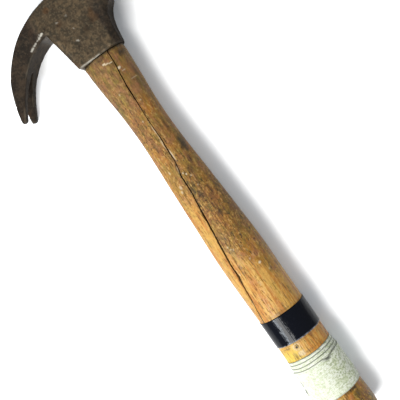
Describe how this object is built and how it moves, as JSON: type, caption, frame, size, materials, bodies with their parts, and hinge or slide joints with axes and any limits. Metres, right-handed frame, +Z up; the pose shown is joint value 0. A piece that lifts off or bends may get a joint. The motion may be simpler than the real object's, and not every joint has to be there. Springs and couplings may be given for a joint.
{
  "type": "claw hammer",
  "caption": "Worn claw hammer with a dark forged adze-eye head on a split wooden handle, mended with a band of black tape and a wrap of pale cloth tape.",
  "frame": {"origin": "on the surface the hammer lies on, under the middle of its overall box", "axes": "+X along the handle from the butt to the head, +Y to the claw side, -Y to the striking face, +Z up, through the cheeks"},
  "size_m": [0.3291, 0.129, 0.029],
  "materials": {
    "forged_steel": "dark brown patina, forged and pitted, with rust spots and a few bright scuffs",
    "handle_wood": "worn golden ash, remains of gloss varnish, grey dirt towards the head",
    "wedge_wood": "bare end grain, dirty",
    "wedge_steel": "dull, lightly rusted",
    "brad_steel": "rusted, with a worn bright rim",
    "black_vinyl": "glossy, softly wrinkled insulating tape",
    "cloth_tape": "matt woven cloth tape, pale cream green, grubby at the edges"
  },
  "bodies": {
    "root": {"head": "forged_steel", "handle": "handle_wood", "wood_wedge": "wedge_wood", "steel_wedge_claw_side": "wedge_steel", "steel_wedge_face_side": "wedge_steel", "repair_brad": "brad_steel", "black_tape_band": "black_vinyl", "cloth_tape_wrap": "cloth_tape"}
  },
  "joints": []
}
